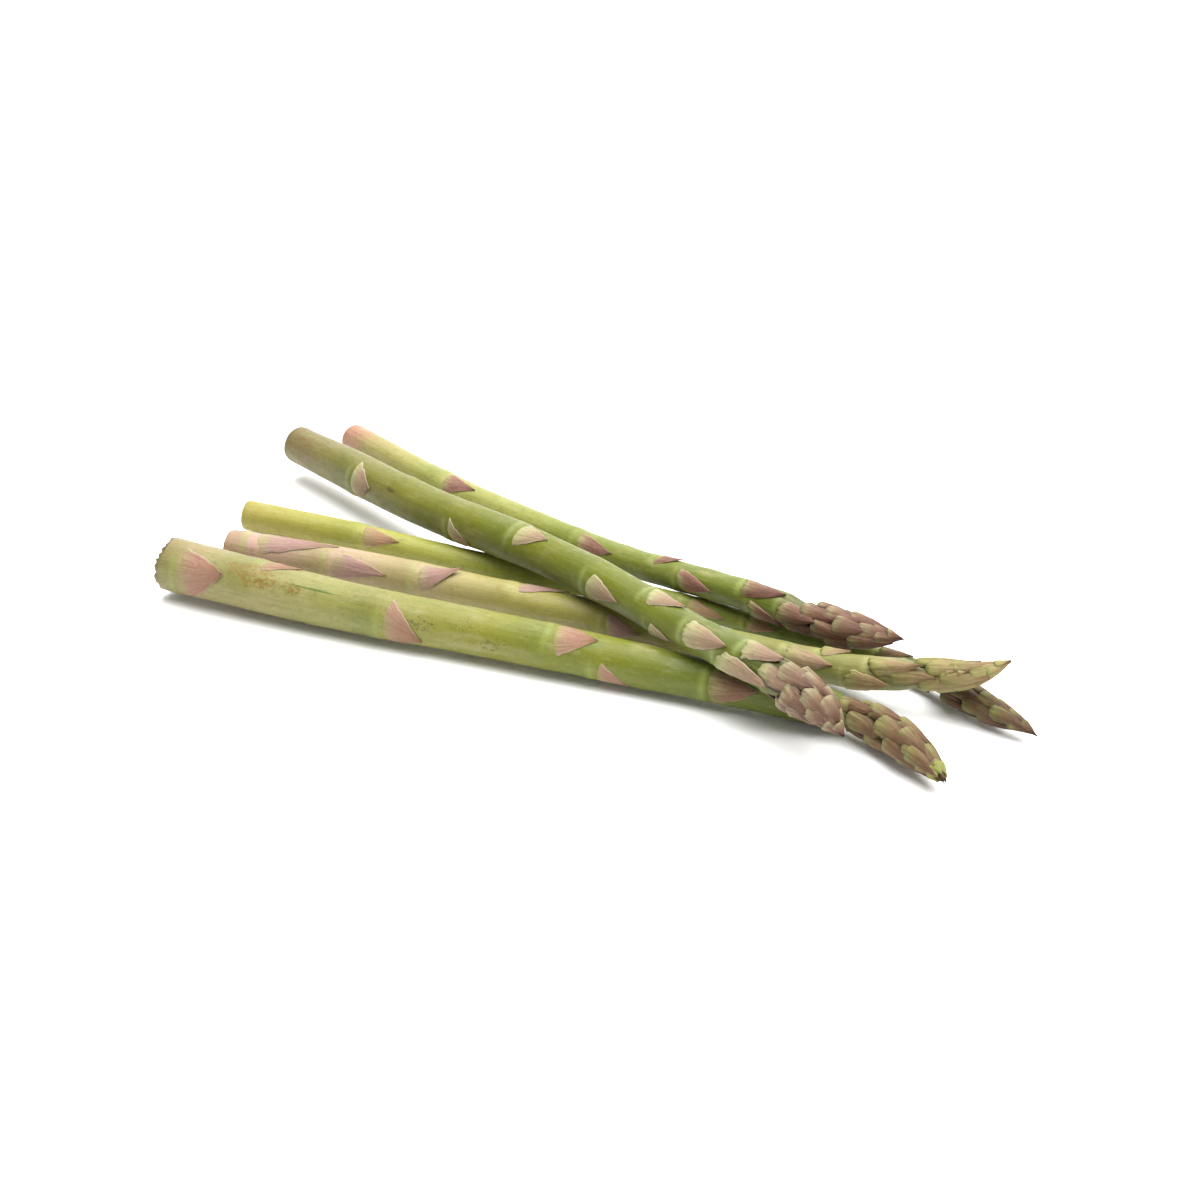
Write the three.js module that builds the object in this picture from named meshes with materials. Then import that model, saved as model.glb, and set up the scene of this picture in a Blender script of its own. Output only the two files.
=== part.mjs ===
// Five loose asparagus spears lying in a low pile, in millimetres.
// +Z is up and the cut butts point toward -X; each spear is a stalk, its scale leaves and a closed head.
import * as THREE from "three";

// Fit between the pieces of one spear
const FIT_GAP = 0.3; // clear space between a stalk and the pieces that sit on it
const FLOOR_LIFT = 1.1; // room under a lying stalk for the scale leaves that wrap its underside

// Stalks
const STALK_SIDES = 16;
const RING_SPACING = 10; // length of stalk between two rings
const BUTT_CHAMFER = 0.6; // worn edge round the cut face
const NODE_SWELL = 0.25; // how far the stalk swells just below a scale leaf

// Scale leaves
const LEAF_COLUMNS = 5;
const LEAF_ROWS = 5;
const LEAF_THICK = 0.7; // along the midrib, at the base
const LEAF_EDGE_THICK = 0.3; // at the margins and the tip
const LEAF_TIP_WIDTH = 0.07; // tip width as a share of the base width
const LEAF_TAPER = 1.35; // above 1 the sides bow outward before they meet

// Heads
const HEAD_SIDES = 22;
const HEAD_RINGS = 19;
const HEAD_TURN = 137.5; // degrees from one bud scale to the next
const HEAD_SCALES = 15; // bud scales in one head
const HEAD_SCALE_RUN = 0.3; // length of a bud scale as a share of the head
const HEAD_SCALE_SPREAD = 44; // degrees from a bud scale's midline to its margin at the base
const HEAD_RELIEF = 0.3; // height of a bud scale's back as a share of the head's radius
const HEAD_TIP_SHARE = 0.12; // radius of the very tip as a share of the head's widest radius

const DEGREE = Math.PI / 180;
const UP = new THREE.Vector3(0, 0, 1);

// path: x, y, height of the centre and radius, from the cut butt to the tip.
// headStart: distance along the spear at which the closed head begins.
// leaves: distance along the spear, angle round it (0 on top, 90 at the front), length, half spread in
// degrees, sideways turn of the tip in degrees, and how far the tip stands off the stalk.
const SPEARS = [
  {
    name: "spear_a",
    path: [
      [-107, -39, 6.8, 6.8],
      [-84, -39.5, 6.7, 6.7],
      [-55, -39, 6.1, 6.1],
      [-29, -37, 5.8, 5.8],
      [-3, -35.5, 5.7, 5.7],
      [22, -34, 5.2, 5.2],
      [47, -33, 4.9, 4.9],
      [72, -33, 4.6, 4.6],
      [81, -36, 4.8, 4.8],
      [90, -41.5, 4.7, 4.5],
      [95.5, -45, 4.1, 3.2],
      [100, -49, 3.5, 1.2],
    ],
    headStart: 180,
    leaves: [
      [6, 92, 14, 50, -40, 0.3],
      [27, 0, 11, 26, -20, 0.1],
      [45, 215, 10, 45, 0, 0.1],
      [62, 100, 11, 46, 12, 0.2],
      [85, -105, 10, 45, 0, 0.1],
      [105, 24, 12, 48, -8, 0.2],
      [117, 122, 9, 44, 14, 0.1],
      [130, 232, 10, 45, 0, 0.1],
      [145, 76, 13, 50, -18, 0.2],
      [163, 196, 10, 46, 0, 0.1],
    ],
  },
  {
    name: "spear_b",
    path: [
      [-99, -22.5, 4.7, 4.7],
      [-66, -19, 4.7, 4.7],
      [-39, -17.5, 4.5, 4.5],
      [-12, -16.5, 4.4, 4.4],
      [15, -16, 4.2, 4.2],
      [40, -15, 4.1, 4.0],
      [54, -16.5, 5, 3.9],
      [66.5, -17.5, 6, 3.9],
      [74, -18, 7.5, 3.9],
      [88, -17, 10, 3.8],
      [95, -16.8, 11.8, 3.2],
      [100, -15.5, 13.8, 1.9],
      [103.5, -13.5, 15.5, 0.8],
    ],
    headStart: 181,
    leaves: [
      [6, 12, 18, 52, -20, 0.1],
      [28, 62, 17, 46, 2, 0.1],
      [52, 50, 12, 46, -55, 0.5],
      [78, -10, 14, 40, -10, 0.4],
      [88, 150, 9, 42, 0, 0.1],
      [103, 78, 10, 46, 6, 0.2],
      [128, 232, 10, 44, 0, 0.1],
      [150, 50, 13, 48, 0, 0.2],
      [158, -22, 8, 42, 0, 0.4],
      [166, 101, 11, 46, -6, 0.2],
      [172, 24, 13, 46, 8, 0.4],
    ],
  },
  {
    name: "spear_c",
    path: [
      [-104.5, -4.5, 4, 4],
      [-75, -2.5, 3.6, 3.6],
      [-46, -2.5, 3.3, 3.3],
      [-32.5, -2, 3.2, 3.2],
      [-5.5, 0, 3, 3],
      [21, 0.5, 2.7, 2.7],
      [43, -1.5, 2.7, 2.7],
      [66.5, -3, 2.6, 2.6],
      [74.5, -4, 2.6, 2.6],
      [84.5, -8, 2.8, 2.8],
      [95, -13.5, 3.3, 3.2],
      [103, -17, 3.2, 2.9],
      [108.5, -18.5, 2.6, 1.9],
      [113, -20.5, 2, 0.7],
    ],
    headStart: 190,
    leaves: [
      [33, 46, 12, 50, -4, 0.1],
      [58, -128, 9, 44, 0, 0.1],
      [93, 195, 9, 44, 0, 0.1],
      [122, 58, 12, 48, 20, 0.1],
      [139, 62, 9, 44, 0, 0.1],
      [158, 152, 9, 44, 0, 0.1],
      [174, 22, 9, 46, -30, 0.1],
      [182, 128, 9, 46, 0, 0.1],
    ],
  },
  {
    name: "spear_d",
    path: [
      [-108.5, 30, 8, 5],
      [-88, 21.5, 8.7, 5.5],
      [-68, 12.5, 9.6, 5.5],
      [-50, 5, 10.8, 5.5],
      [-33, -1, 12.2, 5.4],
      [-16, -7.5, 13.2, 5.1],
      [1, -15, 14.1, 5],
      [17.5, -23, 14.6, 4.7],
      [33.5, -31, 15, 4.3],
      [45.5, -36, 15.2, 4.4],
      [54.5, -39.5, 15, 4.9],
      [63, -42.5, 13.5, 5.3],
      [69.5, -44.5, 11, 4.2],
      [75, -46.5, 7.5, 1.2],
    ],
    headStart: 176,
    leaves: [
      [29, 92, 9, 48, -18, 0.1],
      [48, -80, 9, 44, 0, 0.1],
      [68, 112, 8, 44, 8, 0.1],
      [90, 24, 11, 46, -12, 0.1],
      [118, 80, 13, 40, 2, 0.2],
      [137, 2, 12, 42, -16, 0.3],
      [141, 128, 8, 36, -10, 0.1],
      [153, 58, 14, 44, -16, 0.3],
      [159, -112, 9, 44, 0, 0.2],
      [164, 98, 17, 40, -14, 0.6],
      [170, 8, 11, 42, -6, 0.4],
    ],
  },
  {
    name: "spear_e",
    path: [
      [-100.5, 46, 4.1, 4.1],
      [-62, 29.5, 4.1, 4.1],
      [-28, 19, 4, 4],
      [-12, 14, 4.6, 3.8],
      [4, 9, 6, 3.7],
      [19, 3.8, 8.4, 3.7],
      [35, -1.3, 10.5, 3.7],
      [48.5, -4.5, 10.6, 3.9],
      [54.5, -5.5, 10.5, 4.1],
      [62.5, -7, 10.7, 4.3],
      [70, -6.5, 10.5, 3],
      [75, -5, 10, 0.8],
    ],
    headStart: 160,
    leaves: [
      [40, 30, 12, 46, -14, 0.1],
      [64, 205, 9, 44, 0, 0.1],
      [88, 50, 13, 46, 0, 0.1],
      [104, -108, 9, 44, 0, 0.1],
      [114, -2, 8, 42, -14, 0.4],
      [123, 72, 12, 44, 12, 0.1],
      [132, 238, 9, 44, 0, 0.1],
      [143, 22, 12, 46, -10, 0.2],
      [146, 118, 10, 42, 12, 0.2],
      [154, 74, 11, 44, -8, 0.2],
    ],
  },
];

const stalkMaterial = new THREE.MeshStandardMaterial({ color: 0x9fb255, roughness: 0.5, metalness: 0 });
const leafMaterial = new THREE.MeshStandardMaterial({ color: 0xc3a08f, roughness: 0.65, metalness: 0 });
const headMaterial = new THREE.MeshStandardMaterial({ color: 0x8a7560, roughness: 0.6, metalness: 0 });

// A closed body through loops of points. Every loop has the same even count and turns the same way.
function loft(loops) {
  const count = loops[0].length;
  const last = loops.length - 1;
  const positions = loops.flat().flatMap((p) => [p.x, p.y, p.z]);
  const at = (loop, k) => loop * count + (k % count);
  const faces = [];
  for (let i = 0; i < last; i++) {
    for (let k = 0; k < count; k++) {
      faces.push(at(i, k), at(i, k + 1), at(i + 1, k));
      faces.push(at(i, k + 1), at(i + 1, k + 1), at(i + 1, k));
    }
  }
  for (let k = 0; k < count / 2 - 1; k++) {
    const mate = count - 1 - k;
    faces.push(at(0, k), at(0, mate), at(0, k + 1));
    faces.push(at(0, k + 1), at(0, mate), at(0, mate - 1));
    faces.push(at(last, k), at(last, k + 1), at(last, mate));
    faces.push(at(last, k + 1), at(last, mate - 1), at(last, mate));
  }
  const geometry = new THREE.BufferGeometry();
  geometry.setAttribute("position", new THREE.Float32BufferAttribute(positions, 3));
  geometry.setIndex(faces);
  geometry.computeVertexNormals();
  return geometry;
}

// The centreline of a spear, with its length and the distance along it at each of its given points.
function spine(path) {
  const points = path.map(([x, y, z]) => new THREE.Vector3(x, y, z + FLOOR_LIFT));
  const curve = new THREE.CatmullRomCurve3(points, false, "centripetal");
  curve.arcLengthDivisions = 400;
  const lengths = curve.getLengths();
  const step = (lengths.length - 1) / (points.length - 1);
  const stations = points.map((p, i) => {
    const at = i * step;
    const low = Math.floor(at);
    const high = Math.min(low + 1, lengths.length - 1);
    return THREE.MathUtils.lerp(lengths[low], lengths[high], at - low);
  });
  const radii = path.map((point) => point[3]);
  return { curve, stations, radii, length: lengths.at(-1) };
}

// The plain radius of a spear at a distance along it, eased between its given points.
function radiusAt(line, along) {
  const { stations, radii } = line;
  let i = stations.findIndex((s) => s > along) - 1;
  if (i < 0) i = along <= 0 ? 0 : radii.length - 2;
  const share = THREE.MathUtils.clamp((along - stations[i]) / (stations[i + 1] - stations[i]), 0, 1);
  return THREE.MathUtils.lerp(radii[i], radii[i + 1], share);
}

// A point at a distance along the spear, an angle round it and a height off its centre.
function onSpear(line, along, angle, height) {
  const u = THREE.MathUtils.clamp(along / line.length, 0, 1);
  const centre = line.curve.getPointAt(u);
  const forward = line.curve.getTangentAt(u);
  const top = UP.clone().addScaledVector(forward, -UP.dot(forward)).normalize();
  const front = forward.clone().cross(top);
  return centre
    .addScaledVector(top, Math.cos(angle * DEGREE) * height)
    .addScaledVector(front, Math.sin(angle * DEGREE) * height);
}

function ring(line, along, sides, heightAt) {
  return Array.from({ length: sides }, (none, k) => {
    const angle = (360 * (k + 0.5)) / sides;
    return onSpear(line, along, angle, heightAt(angle));
  });
}

// The stalk's own swelling just below each scale leaf.
function swellAt(leaves, along) {
  return leaves.reduce((swell, [base]) => {
    const near = 1 - Math.abs(along - base + 1) / 2;
    return Math.max(swell, NODE_SWELL * near);
  }, 0);
}

function stalkGeometry(line, spear) {
  const end = spear.headStart - FIT_GAP;
  const steps = Math.round(end / RING_SPACING);
  const even = Array.from({ length: steps - 1 }, (none, i) => ((i + 1) * end) / steps);
  const loops = [0, BUTT_CHAMFER, ...even, end].map((along) => {
    const worn = along === 0 ? BUTT_CHAMFER : 0;
    const radius = radiusAt(line, along) + swellAt(spear.leaves, along) - worn;
    return ring(line, along, STALK_SIDES, () => radius);
  });
  return loft(loops);
}

function leafGeometry(line, [base, angle, length, spread, turn, stand]) {
  const loops = [];
  for (let row = 0; row < LEAF_ROWS; row++) {
    const t = row / (LEAF_ROWS - 1);
    const along = base + t * length;
    const middle = angle + turn * t;
    const half = spread * Math.max(1 - t ** LEAF_TAPER, LEAF_TIP_WIDTH);
    const inner = radiusAt(line, along) + NODE_SWELL + FIT_GAP + stand * t * t;
    const rib = THREE.MathUtils.lerp(LEAF_THICK, LEAF_EDGE_THICK, t);
    const columns = Array.from({ length: LEAF_COLUMNS }, (none, c) => (2 * c) / (LEAF_COLUMNS - 1) - 1);
    const outside = columns.map((c) => {
      const thick = THREE.MathUtils.lerp(rib, LEAF_EDGE_THICK, c * c);
      return onSpear(line, along, middle + half * c, inner + thick);
    });
    const inside = columns.map((c) => onSpear(line, along, middle + half * c, inner));
    loops.push([...outside, ...inside.reverse()]);
  }
  return loft(loops);
}

// How far the overlapping bud scales stand off the head, from 0 to 1, at a share of its length.
function budRelief(share, angle) {
  let relief = 0;
  for (let n = 0; n < HEAD_SCALES; n++) {
    const start = (n / HEAD_SCALES) * (1 - HEAD_SCALE_RUN / 2) - HEAD_SCALE_RUN / 2;
    const v = (share - start) / HEAD_SCALE_RUN;
    if (v < 0 || v > 1) continue;
    const off = THREE.MathUtils.euclideanModulo(angle - n * HEAD_TURN + 180, 360) - 180;
    const across = Math.abs(off) / HEAD_SCALE_SPREAD;
    if (across < 1) relief = Math.max(relief, Math.sin(Math.PI * v ** 1.5) * (1 - across * across));
  }
  return relief;
}

function headGeometry(line, spear) {
  const run = line.length - spear.headStart;
  const widest = radiusAt(line, spear.headStart);
  const loops = Array.from({ length: HEAD_RINGS }, (none, i) => {
    const share = i / (HEAD_RINGS - 1);
    const along = spear.headStart + share * run;
    const radius = Math.max(radiusAt(line, along) * (1 - HEAD_RELIEF / 2), widest * HEAD_TIP_SHARE);
    const fade = Math.sin(Math.PI * Math.min(0.9, share + 0.15));
    return ring(line, along, HEAD_SIDES, (angle) => radius * (1 + HEAD_RELIEF * fade * budRelief(share, angle)));
  });
  return loft(loops);
}

function addPiece(group, name, geometry, material) {
  const piece = new THREE.Mesh(geometry, material);
  piece.name = name;
  group.add(piece);
}

function makeSpear(spear) {
  const group = new THREE.Group();
  const line = spine(spear.path);
  addPiece(group, `${spear.name}_stalk`, stalkGeometry(line, spear), stalkMaterial);
  addPiece(group, `${spear.name}_head`, headGeometry(line, spear), headMaterial);
  spear.leaves.forEach((leaf, i) => {
    const number = String(i + 1).padStart(2, "0");
    addPiece(group, `${spear.name}_leaf_${number}`, leafGeometry(line, leaf), leafMaterial);
  });
  return group;
}

// The pile, moved so that its lowest point is at z = 0 and its middle stands over the origin.
function makeBundle() {
  const bundle = new THREE.Group();
  bundle.name = "asparagus_bundle";
  SPEARS.forEach((spear) => bundle.add(makeSpear(spear)));
  const box = new THREE.Box3().setFromObject(bundle, true);
  const middle = box.getCenter(new THREE.Vector3());
  bundle.position.set(-middle.x, -middle.y, -box.min.z);
  return bundle;
}

export default makeBundle();
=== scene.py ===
import math
import random
import bpy
import bmesh
import numpy as np
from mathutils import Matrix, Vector, noise


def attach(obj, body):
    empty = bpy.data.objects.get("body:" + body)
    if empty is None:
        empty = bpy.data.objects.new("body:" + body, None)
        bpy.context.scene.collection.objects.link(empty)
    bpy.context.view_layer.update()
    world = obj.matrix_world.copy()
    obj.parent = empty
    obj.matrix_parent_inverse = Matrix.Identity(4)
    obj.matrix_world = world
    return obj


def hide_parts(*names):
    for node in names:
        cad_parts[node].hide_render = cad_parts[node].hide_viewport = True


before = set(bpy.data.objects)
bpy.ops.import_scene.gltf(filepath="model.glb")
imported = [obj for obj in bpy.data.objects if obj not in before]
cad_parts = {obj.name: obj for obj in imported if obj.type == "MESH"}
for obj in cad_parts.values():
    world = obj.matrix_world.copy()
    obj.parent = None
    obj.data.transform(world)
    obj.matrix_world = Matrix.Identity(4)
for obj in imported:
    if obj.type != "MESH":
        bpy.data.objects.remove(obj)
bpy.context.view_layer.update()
mm = 0.001
print("frame loaded:", len(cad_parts), "nodes")


cameraSetup = {"azimuth": 24, "elevation": 30, "distance": 0.7, "lens": 84, "nearest": 0.01,
               "aimAt": (-0.0066, -0.0011, 0.0012)}
lightSetup = {"skyStrength": 0.42,
              "key": {"at": (0.20, 0.16, 1.30), "size": 1.7, "power": 63.0},
              "back": {"at": (-0.45, 1.10, 0.70), "size": 1.3, "power": 10.0}}
floorSetup = {"size": 6.0, "colour": (0.93, 0.93, 0.925), "roughness": 0.9, "gloss": 0.1}


def makeCamera(setup):
    azimuth = math.radians(setup["azimuth"])
    elevation = math.radians(setup["elevation"])
    back = Vector((math.sin(azimuth) * math.cos(elevation),
                   -math.cos(azimuth) * math.cos(elevation), math.sin(elevation)))
    camera = bpy.data.objects.new("camera", bpy.data.cameras.new("camera"))
    bpy.context.collection.objects.link(camera)
    camera.data.lens = setup["lens"]
    camera.data.clip_start = setup["nearest"]
    camera.location = Vector(setup["aimAt"]) + back * setup["distance"]
    camera.rotation_euler = (-back).to_track_quat("-Z", "Y").to_euler()
    bpy.context.scene.camera = camera


def makeLamp(name, setup):
    lamp = bpy.data.lights.new(name, "AREA")
    lamp.size = setup["size"]
    lamp.energy = setup["power"]
    holder = bpy.data.objects.new(name, lamp)
    bpy.context.collection.objects.link(holder)
    holder.location = setup["at"]
    holder.rotation_euler = (-Vector(setup["at"])).to_track_quat("-Z", "Y").to_euler()


def makeSky(strength):
    world = bpy.data.worlds.new("softSky")
    world.use_nodes = True
    sky = world.node_tree.nodes["Background"]
    sky.inputs["Color"].default_value = (1, 1, 1, 1)
    sky.inputs["Strength"].default_value = strength
    bpy.context.scene.world = world


def makeFloor(setup):
    bm = bmesh.new()
    bmesh.ops.create_grid(bm, x_segments=4, y_segments=4, size=setup["size"] / 2)
    mesh = bpy.data.meshes.new("floor")
    bm.to_mesh(mesh)
    bm.free()
    floor = bpy.data.objects.new("floor", mesh)
    bpy.context.collection.objects.link(floor)
    paper = bpy.data.materials.new("palePaper")
    paper.use_nodes = True
    shader = paper.node_tree.nodes["Principled BSDF"]
    shader.inputs["Base Color"].default_value = (*setup["colour"], 1)
    shader.inputs["Roughness"].default_value = setup["roughness"]
    shader.inputs["Specular IOR Level"].default_value = setup["gloss"]
    mesh.materials.append(paper)


makeCamera(cameraSetup)
for lampName in ("key", "back"):
    makeLamp(lampName, lightSetup[lampName])
makeSky(lightSetup["skyStrength"])
makeFloor(floorSetup)
bpy.context.scene.view_settings.view_transform = "Standard"
print("camera, light and floor ready")


# how the middle line of a spear is walked: in mm, but for the share and the count at the end
spineWalk = {"buttDepth": 12, "firstCut": 8, "step": 3, "nudges": (0, 0.4, 0.8), "widest": 15,
             "smallestCut": 0.5, "endBand": 0.15, "spacing": 0.25, "tipShare": 0.3, "smoothOver": 25}


def mergedCopy(*nodes):
    bm = bmesh.new()
    for name in nodes:
        bm.from_mesh(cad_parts[name].data)
    bmesh.ops.remove_doubles(bm, verts=bm.verts, dist=0.001 * mm)
    return bm


def sliceAcross(solid, point, direction):
    # middle and mean radius where a plane cuts the solid, or None where it misses
    cut = solid.copy()
    made = bmesh.ops.bisect_plane(cut, geom=cut.verts[:] + cut.edges[:] + cut.faces[:],
                                  plane_co=point, plane_no=direction, dist=0.0001 * mm)
    rim = [e for e in made["geom_cut"] if isinstance(e, bmesh.types.BMEdge)]
    spans = [(e.calc_length(), (e.verts[0].co + e.verts[1].co) / 2) for e in rim]
    spans = [(size, middle) for size, middle in spans if (middle - point).length < spineWalk["widest"] * mm]
    cut.free()
    total = sum(size for size, middle in spans)
    if total < spineWalk["smallestCut"] * mm:
        return None
    centre = sum((middle * size for size, middle in spans), Vector()) / total
    return centre, sum((middle - centre).length * size for size, middle in spans) / total


def endOf(solid, point, direction):
    # middle of the flat end that lies furthest along direction
    reach = max((v.co - point).dot(direction) for v in solid.verts)
    rim = [v.co for v in solid.verts if (v.co - point).dot(direction) > reach - spineWalk["endBand"] * mm]
    return sum(rim, Vector()) / len(rim)


def walkSpear(solid):
    # from the butt to the tip, one cut after another
    walk, eastward = spineWalk, Vector((1, 0, 0))
    lowX = min(v.co.x for v in solid.verts)
    butt = [v.co for v in solid.verts if v.co.x < lowX + walk["buttDepth"] * mm]
    middle = sum(butt, Vector()) / len(butt)
    first, radius = sliceAcross(solid, Vector((lowX + walk["firstCut"] * mm, middle.y, middle.z)), eastward)
    second, radius = sliceAcross(solid, first + eastward * walk["firstCut"] * mm, eastward)
    forward = (second - first).normalized()
    points = [endOf(solid, first, -forward)]
    radii = [radius]
    while True:
        for nudge in walk["nudges"]:
            found = sliceAcross(solid, points[-1] + forward * (walk["step"] + nudge) * mm, forward)
            if found:
                break
        if not found:
            break
        forward = ((found[0] - points[-1]).normalized() * 2 + forward).normalized()
        points.append(found[0])
        radii.append(found[1])
    points.append(endOf(solid, points[-1], forward))
    radii.append(radii[-1] * walk["tipShare"])
    radii[0] = radii[1]
    return np.array([p[:] for p in points]), radii


def curveThrough(knots, along, fine):
    # a smooth curve through the knots, read at the fine distances
    slope = np.gradient(knots, along, axis=0)
    spot = np.clip(np.searchsorted(along, fine, side="right") - 1, 0, len(along) - 2)
    gap = (along[spot + 1] - along[spot])[:, None]
    t = (fine[:, None] - along[spot][:, None]) / gap
    return ((2 * t**3 - 3 * t**2 + 1) * knots[spot] + (t**3 - 2 * t**2 + t) * gap * slope[spot]
            + (3 * t**2 - 2 * t**3) * knots[spot + 1] + (t**3 - t**2) * gap * slope[spot + 1])


def readSpine(name):
    solid = mergedCopy(name + "_stalk", name + "_head")
    knots, radii = walkSpear(solid)
    solid.free()
    along = np.concatenate([[0], np.cumsum(np.linalg.norm(np.diff(knots, axis=0), axis=1))])
    fine = np.linspace(0, along[-1], int(along[-1] / (spineWalk["spacing"] * mm)))
    line = curveThrough(knots, along, fine)
    heading = np.gradient(line, axis=0)
    heading /= np.linalg.norm(heading, axis=1)[:, None]
    count = spineWalk["smoothOver"]
    radius = np.pad(np.interp(fine, along, radii), count // 2, mode="edge")
    radius = np.convolve(radius, np.ones(count) / count, mode="valid")
    return {"along": fine, "line": line, "heading": heading, "radius": radius, "length": along[-1]}


def radiusAt(spine, along):
    return np.interp(along, spine["along"], spine["radius"])


def nearestOn(spine, node):
    # a node's points, and how far along the spear each of them lies
    spots = np.array([v.co[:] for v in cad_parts[node].data.vertices])
    nearest = ((spots[:, None, :] - spine["line"][None, :, :]) ** 2).sum(-1).argmin(1)
    return spots, spine["along"][nearest]


def frameAt(spine, along):
    # centre, upward and frontward directions at distances along the spear
    inside = np.clip(along, 0, spine["length"])
    centre = np.stack([np.interp(inside, spine["along"], spine["line"][:, i]) for i in range(3)], -1)
    ahead = np.stack([np.interp(inside, spine["along"], spine["heading"][:, i]) for i in range(3)], -1)
    ahead /= np.linalg.norm(ahead, axis=1)[:, None]
    centre = centre + ahead * (along - inside)[:, None]
    top = np.array([0, 0, 1.0]) - ahead * ahead[:, 2:3]
    top /= np.linalg.norm(top, axis=1)[:, None]
    return centre, top, np.cross(ahead, top)


def onSpear(spine, along, angle, height):
    # angles are in degrees, from the top of the spear round by its front
    centre, top, front = frameAt(spine, along)
    turn = np.radians(angle)
    return centre + height[:, None] * (np.cos(turn)[:, None] * top + np.sin(turn)[:, None] * front)


leafEnds = {"band": 0.5, "thick": 0.55}  # mm of a leaf counted as its base or tip, and its thickness there


def halfTurn(angle):
    return (angle + math.pi) % (2 * math.pi) - math.pi


def meanAngle(angles):
    return math.atan2(np.sin(angles).mean(), np.cos(angles).mean())


def readLeaf(spine, node):
    # where a scale leaf sits on its spear: base, length, angle, spread and turn
    spots, along = nearestOn(spine, node)
    centre, top, front = frameAt(spine, along)
    out = spots - centre
    angle = np.arctan2((out * front).sum(1), (out * top).sum(1))
    lowest, highest = along.min(), along.max()
    atBase = along < lowest + leafEnds["band"] * mm
    atTip = along > highest - leafEnds["band"] * mm
    middle = meanAngle(angle[atBase])
    spread = np.abs(halfTurn(angle[atBase] - middle)).max()
    turn = halfTurn(meanAngle(angle[atTip]) - middle)
    height = np.linalg.norm(out, axis=1)
    stand = height[atTip].min() - radiusAt(spine, highest) - leafEnds["thick"] * mm
    return {"base": lowest, "length": highest - lowest, "angle": math.degrees(middle),
            "spread": math.degrees(spread), "turn": math.degrees(turn), "stand": max(0, stand)}


def addNode(tree, kind, values=None, **settings):
    made = tree.nodes.new(kind)
    for key, value in settings.items():
        setattr(made, key, value)
    for key, value in (values or {}).items():
        if isinstance(value, bpy.types.NodeSocket):
            tree.links.new(value, made.inputs[key])
        else:
            made.inputs[key].default_value = value
    return made


def stretched(tree, vector, scale, shift=(0, 0, 0)):
    return addNode(tree, "ShaderNodeMapping", {"Vector": vector, "Scale": scale, "Location": shift}).outputs[0]


def patternOn(tree, vector, seed, stretch, detail=4, rough=0.55, shift=(0, 0, 0), seedOn=(0, 0, 0)):
    # seedOn says which way the seed of a spear moves the pattern
    place = tuple(start + seed * share for start, share in zip(shift, seedOn))
    return addNode(tree, "ShaderNodeTexNoise", {"Vector": stretched(tree, vector, stretch, place), "Scale": 1.0,
                                                "Detail": detail, "Roughness": rough}).outputs["Fac"]


def ramp(tree, factor, stops):
    made = addNode(tree, "ShaderNodeValToRGB", {"Fac": factor})
    band = made.color_ramp
    while len(band.elements) < len(stops):
        band.elements.new(0.5)
    for element, (place, colour) in zip(band.elements, stops):
        element.position = place
        element.color = (*colour, 1)
    return made.outputs["Color"]


def fit(tree, value, low, high, toLow=0.0, toHigh=1.0):
    made = addNode(tree, "ShaderNodeMapRange", {"Value": value, "From Min": low, "From Max": high,
                                                "To Min": toLow, "To Max": toHigh})
    made.interpolation_type = "SMOOTHSTEP"
    return made.outputs["Result"]


def mixed(tree, factor, first, second):
    made = tree.nodes.new("ShaderNodeMix")
    made.data_type = "RGBA"
    colours = [socket for socket in made.inputs if socket.type == "RGBA"]
    for socket, value in zip((made.inputs["Factor"], *colours), (factor, first, second)):
        if isinstance(value, bpy.types.NodeSocket):
            tree.links.new(value, socket)
        elif isinstance(value, tuple):
            socket.default_value = (*value, 1)
        else:
            socket.default_value = value
    return [socket for socket in made.outputs if socket.type == "RGBA"][0]


def laid(tree, colour, pattern, over, low, high, amount):
    # lays one more colour on, from none where the pattern is low to the full amount where it is high
    return mixed(tree, fit(tree, pattern, low, high, 0, amount), colour, over)


def sums(tree, kind, first, second=0.0):
    return addNode(tree, "ShaderNodeMath", {0: first, 1: second}, operation=kind).outputs[0]


def attribute(tree, name):
    return addNode(tree, "ShaderNodeAttribute", attribute_name=name)


def bumpedBy(tree, patterns, bumps, shader):
    normal = None
    for name, strength, height in bumps:
        made = addNode(tree, "ShaderNodeBump", {"Height": patterns[name], "Strength": strength,
                                                "Distance": height * mm})
        if normal:
            tree.links.new(normal, made.inputs["Normal"])
        normal = made.outputs["Normal"]
    tree.links.new(normal, shader.inputs["Normal"])


# light goes this deep, in mm, into every part of the plant, and a faint bloom lies on the skin
plantFinish = {"depth": 1.2, "sheen": 0.02, "sheenRoughness": 0.5}


def plantMaterial(name, finish):
    made = bpy.data.materials.new(name)
    made.use_nodes = True
    shader = made.node_tree.nodes["Principled BSDF"]
    shader.inputs["Subsurface Weight"].default_value = finish["subsurface"]
    shader.inputs["Subsurface Radius"].default_value = finish["tint"]
    shader.inputs["Subsurface Scale"].default_value = plantFinish["depth"] * mm
    shader.inputs["Specular IOR Level"].default_value = finish["gloss"]
    shader.inputs["Sheen Weight"].default_value = plantFinish["sheen"]
    shader.inputs["Sheen Roughness"].default_value = plantFinish["sheenRoughness"]
    return made, made.node_tree, shader


# colours are picked as they look on a screen, then made linear and set against the strength of the lamps
seenShare = 0.53


def linear(red, green, blue, tone=1.0):
    return tuple(tone * seenShare * ((c / 255 + 0.055) / 1.055) ** 2.4 for c in (red, green, blue))


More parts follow.
